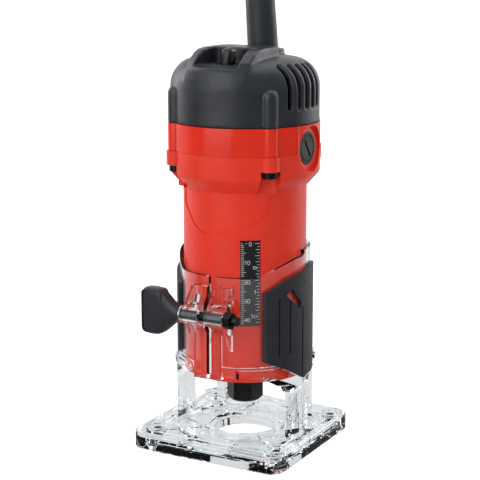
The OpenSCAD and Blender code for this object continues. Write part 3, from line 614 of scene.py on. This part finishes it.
def tick(u, v, reach):
    stroke(bm, [(u, v), (u + reach, v)], TICK, SCALE_RADIUS, SCALE_TURN)


def write(text, u, down, height, width=0.2):
    numeral(bm, text, u, ZERO - down, height, SCALE_RADIUS, SCALE_TURN, width)


bm = bmesh.new()
for k in range(43):
    if k % 10 == 0:
        reach = 1.9 if k else 3.1        # a numbered tick is short, to clear its number
    else:
        reach = 2.5 if k % 5 == 0 else 1.5
    tick(MARGIN, ZERO - k, reach)
for k in range(27):
    z = ZERO - SIXTEENTH * k
    if z < SCALE_FOOT:
        break
    reach = 2.4 if k % 4 == 0 else 1.9 if k % 2 == 0 else 1.1
    if k and k % 8 == 0:
        reach = 1.5
    tick(SCALE_WIDTH - MARGIN - reach, z, reach)
write("0", 5.1, 0.3, 1.9)
for k in (10, 20, 30, 40):
    write(str(k), 3.55, k, 1.9)
write("1", 6.7, 12.7, 1.5, 0.16)         # half an inch
write("/", 7.15, 12.7, 1.5, 0.13)
write("2", 7.95, 12.7, 1.5, 0.16)
write("1", 7.6, 25.4, 2.0)               # one inch
write("1", 5.9, 38.1, 2.0)               # one and a half
write("1", 6.9, 38.1, 1.4, 0.15)
write("/", 7.35, 38.1, 1.4, 0.13)
write("2", 8.1, 38.1, 1.4, 0.15)
new_object("scale_marks", bm, "motor", MARKS, 30)

# ---- Plug with its ribs (mm) -----------------------------------------------------
plug = moulded("plug", PLUG, 0.0006, 5)
RIB_SIDES = 28
bm = bmesh.new()
for k in range(7):
    # Rings round the plug's neck, which widens towards its body.
    y = -5.6 + 1.9 * k
    r = 4.75 + (y + 8) / 20.5 * 2.6 + 0.25
    ring = [2 * math.pi * i / RIB_SIDES for i in range(RIB_SIDES)]
    sweep(bm, [Vector((PLUG_X + r * math.cos(a), y, PLUG_Z + r * math.sin(a))) * MM
               for a in ring], 0.00045, 8, closed=True)
for side in (-1, 1):
    for k in range(6):
        sweep(bm, [Vector((PLUG_X + x, 26 + 2.6 * k, PLUG_Z + side * 8.95)) * MM
                   for x in (-9, -4.5, 0, 4.5, 9)], 0.0004, 8)
plug_ribs = new_object("plug_ribs", bm, "base", PLUG, 60)

# ---- Tie: a flat strap round the wound turns (mm) ----------------------------------
TIE_TURN = math.radians(110)
TIE_HALF_WIDTH, TIE_REACH = 5.6, 40
TIE_ROUND, TIE_THICK = 1.1, 0.55
TIE_CORNERS = ((50.1, 14.05, 0), (29.9, 14.05, 90), (29.9, 1.55, 180), (50.1, 1.55, 270))


def tie_loop(across, grow):
    """The strap's outline in the coil's section, at across mm from its middle."""
    a = TIE_TURN + across / TIE_REACH
    loop = []
    for corner_r, corner_z, start in TIE_CORNERS:
        for k in range(7):
            t = math.radians(start + 90 * k / 6)
            r = corner_r + (TIE_ROUND + grow) * math.cos(t)
            z = corner_z + (TIE_ROUND + grow) * math.sin(t)
            loop.append(Vector((COIL_X + r * math.cos(a), COIL_Y + r * math.sin(a), z)) * MM)
    return loop


bm = bmesh.new()
rings = [[bm.verts.new(p) for p in tie_loop(across, grow)] for across, grow in (
    (-TIE_HALF_WIDTH, 0.0), (TIE_HALF_WIDTH, 0.0),
    (TIE_HALF_WIDTH, -TIE_THICK), (-TIE_HALF_WIDTH, -TIE_THICK))]
for i in range(4):
    a, b = rings[i], rings[(i + 1) % 4]
    for k in range(len(a)):
        bm.faces.new((a[k], a[(k + 1) % len(a)], b[(k + 1) % len(a)], b[k]))
tie = new_object("tie_strap", bm, "base", TIE, 50)
tie_edge = tie.modifiers.new("edge", "BEVEL")
tie_edge.width = 0.0002
tie_edge.segments = 2
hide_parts("coil_tie")

# ---- Finishes: copies with eased edges, and the CAD pieces that stay as they are ------
moulded("top_cap", CHARCOAL, 0.00055, 4)
eased("motor_housing", RED, 0.0004)
eased("upper_ring", RED_GLOSS, 0.0004)
eased("right_grip", GRIP, 0.0003)
eased("left_grip", GRIP, 0.0003)
# The sole's top is lowered a little, so that it and the foot above it are not one surface.
SOLE_TOP, SOLE_GAP = 0.0042, 0.00006
sole = eased("sole_plate", CLEAR, 0.0003)
for v in sole.data.vertices:
    if v.co.z > SOLE_TOP:
        v.co.z -= SOLE_GAP
eased("collet_nut", BLACK_STEEL, 0.00025)
eased("clamp_nut", BLACK_STEEL, 0.0002)
finishes = {
    "clear_base": CLEAR, "sole_screws": BLACK_STEEL,
    "clamp_washer": STEEL, "clamp_screw": BLACK_STEEL, "scale_plate": SCALE,
    "housing_screws": BLACK_STEEL, "brush_cap_right": CAP, "brush_cap_left": CAP,
    "brush_holder_right": HOLDER, "brush_holder_left": HOLDER, "carbon_brushes": CARBON,
    "brush_springs": STEEL, "switch_body": SWITCH, "switch_plate": SWITCH,
    "cord_guard": GUARD, "cord_clamp": HOLDER, "cord_clamp_screws": STEEL,
    "stator_core": LAMINATION, "field_coil_front": COPPER, "field_coil_back": COPPER,
    "air_baffle": FAN, "bearing_retainer": STEEL, "lower_bearing_outer": BEARING,
    "lower_bearing_inner": BEARING, "lower_bearing_balls": BEARING,
    "upper_bearing_outer": BEARING, "upper_bearing_inner": BEARING,
    "upper_bearing_balls": BEARING, "spindle": STEEL, "armature_core": LAMINATION,
    "armature_windings": COPPER, "commutator": COMM, "fan": FAN, "spindle_ring": STEEL,
    "collet": STEEL, "plug_pins": BRASS,
}
for node, mat in finishes.items():
    if not CAD[node].data.materials:
        CAD[node].data.materials.append(mat)
    for place in CAD[node].material_slots:
        place.material = mat

# ---- Floor: a painted glow, pale to the eye and through the clear base, and painted dark in reflections ---
FLOOR_RADIUS, FLOOR_DROP = 14, 0.0003
bm = bmesh.new()
bmesh.ops.create_circle(bm, cap_ends=True, segments=96, radius=FLOOR_RADIUS)
floor_mesh = bpy.data.meshes.new("floor")
bm.to_mesh(floor_mesh)
bm.free()
floor = bpy.data.objects.new("floor", floor_mesh)
scene.collection.objects.link(floor)
floor.location.z = -FLOOR_DROP
pale = Look("floor", (0.5, 0.5, 0.5), 0.9)
mottle = pale.tone(pale.noise(0.4, 3, 0.5), 0.3, 0.7, (0.48, 0.48, 0.48), (0.52, 0.52, 0.52))
pale.p.inputs["Specular IOR Level"].default_value = 0.0
pale.p.inputs["Emission Color"].default_value = (1, 1, 1, 1)
# Painted reflection: glossy rays see the floor's colour as 0.05, near black, so it shows dark in
# shiny surfaces.
rays = pale.t.nodes.new("ShaderNodeLightPath")
dim = pale.t.nodes.new("ShaderNodeMix")
dim.data_type = "RGBA"
dim_from, dim_to = [e for e in dim.inputs if e.type == "RGBA"]
pale.link(rays.outputs["Is Glossy Ray"], dim.inputs["Factor"])
pale.link(mottle, dim_from)
dim_to.default_value = (0.05, 0.05, 0.05, 1)
pale.link([e for e in dim.outputs if e.type == "RGBA"][0], pale.p.inputs["Base Color"])
# Painted light: the floor glows. To the camera and through the clear base it glows 0.74 at the
# object, a painted shade round it, rising to 1 far off, so it shows lit even in the base's
# shadow. To other rays it glows 0.1 in front of the object and up to 0.65 behind it, painted
# light thrown back on the object.
seen = pale.t.nodes.new("ShaderNodeMath")
seen.operation = "MAXIMUM"
pale.link(rays.outputs["Is Camera Ray"], seen.inputs[0])
pale.link(rays.outputs["Is Transmission Ray"], seen.inputs[1])
far = pale.t.nodes.new("ShaderNodeVectorMath")
far.operation = "LENGTH"
pale.link(pale.coord.outputs["Object"], far.inputs[0])
behind = pale.t.nodes.new("ShaderNodeVectorMath")
behind.operation = "DOT_PRODUCT"
pale.link(pale.coord.outputs["Object"], behind.inputs[0])
behind.inputs[1].default_value = (-VIEW_X, VIEW_Y, 0)
glow = pale.t.nodes.new("ShaderNodeMix")
glow.data_type = "FLOAT"
pale.link(seen.outputs["Value"], glow.inputs[0])
pale.link(pale.span(behind.outputs["Value"], -0.1, 0.25, 0.10, 0.65), glow.inputs[2])
pale.link(pale.span(far.outputs["Value"], 0.1, 0.9, 0.74, 1.0), glow.inputs[3])
pale.link(glow.outputs[0], pale.p.inputs["Emission Strength"])
floor.data.materials.append(pale.mat)

# ---- Lights -----------------------------------------------------------------------
TOWARD = Vector((VIEW_X, -VIEW_Y, 0))
RIGHT = Vector((VIEW_Y, VIEW_X, 0))
AIM = Vector((0, 0, 0.12))


def softbox(name, turn, distance, height, size, watts):
    """A soft lamp, turn degrees to the right of the camera as seen from the object."""
    a = math.radians(turn)
    where = (TOWARD * math.cos(a) + RIGHT * math.sin(a)) * distance + Vector((0, 0, height))
    light = bpy.data.lights.new(name, "AREA")
    light.shape = "RECTANGLE"
    light.size, light.size_y = size
    light.energy = watts
    o = bpy.data.objects.new(name, light)
    scene.collection.objects.link(o)
    o.location = where
    o.rotation_euler = (AIM - where).to_track_quat("-Z", "Y").to_euler()
    o.visible_camera = False
    return o


softbox("key", -42, 1.05, 0.50, (0.95, 1.3), 7.0)
fill = softbox("fill", 36, 1.15, 0.42, (1.0, 1.2), 3.2)
fill.visible_glossy = False
softbox("top", 180, 0.25, 1.35, (1.1, 1.1), 4.0)
softbox("rim_right", 125, 1.1, 0.55, (0.5, 1.1), 4.0)
softbox("rim_left", -125, 1.1, 0.55, (0.5, 1.1), 4.0)

# ---- World: dim on the camera's side, pale behind the object, white where seen --------
FRONT_SKY, BACK_SKY = (0.27, 0.31, 0.36, 1), (0.86, 0.88, 0.9, 1)
SKY_RISE = 0.35             # the pale part also lies upward
SKY_STRENGTH = 0.95
world = bpy.data.worlds.new("studio")
scene.world = world
world.use_nodes = True
sky = world.node_tree
back = sky.nodes["Background"]
direction = sky.nodes.new("ShaderNodeTexCoord")
side = sky.nodes.new("ShaderNodeVectorMath")
side.operation = "DOT_PRODUCT"
sky.links.new(direction.outputs["Generated"], side.inputs[0])
side.inputs[1].default_value = (-VIEW_X, VIEW_Y, SKY_RISE)
ramp = sky.nodes.new("ShaderNodeValToRGB")
for element, place, colour in zip(ramp.color_ramp.elements, (0.0, 1.0), (FRONT_SKY, BACK_SKY)):
    element.position = place
    element.color = colour
turn = sky.nodes.new("ShaderNodeMapRange")
turn.interpolation_type = "SMOOTHSTEP"
for name, value in (("From Min", -0.25), ("From Max", 0.55), ("To Min", 0.0), ("To Max", 1.0)):
    turn.inputs[name].default_value = value
sky.links.new(side.outputs["Value"], turn.inputs["Value"])
sky.links.new(turn.outputs["Result"], ramp.inputs["Fac"])
plain = sky.nodes.new("ShaderNodeBackground")
plain.inputs["Color"].default_value = (1, 1, 1, 1)
ray = sky.nodes.new("ShaderNodeLightPath")
mixer = sky.nodes.new("ShaderNodeMixShader")
sky.links.new(ramp.outputs["Color"], back.inputs["Color"])
back.inputs["Strength"].default_value = SKY_STRENGTH
sky.links.new(ray.outputs["Is Camera Ray"], mixer.inputs["Fac"])
sky.links.new(back.outputs["Background"], mixer.inputs[1])
sky.links.new(plain.outputs["Background"], mixer.inputs[2])
sky.links.new(mixer.outputs["Shader"], sky.nodes["World Output"].inputs["Surface"])

scene.view_settings.view_transform = "Standard"
scene.view_settings.look = "None"
# The clear base is many surfaces deep, so light needs this many steps to pass it.
scene.cycles.max_bounces = 24
scene.cycles.transmission_bounces = 20
scene.cycles.transparent_max_bounces = 24
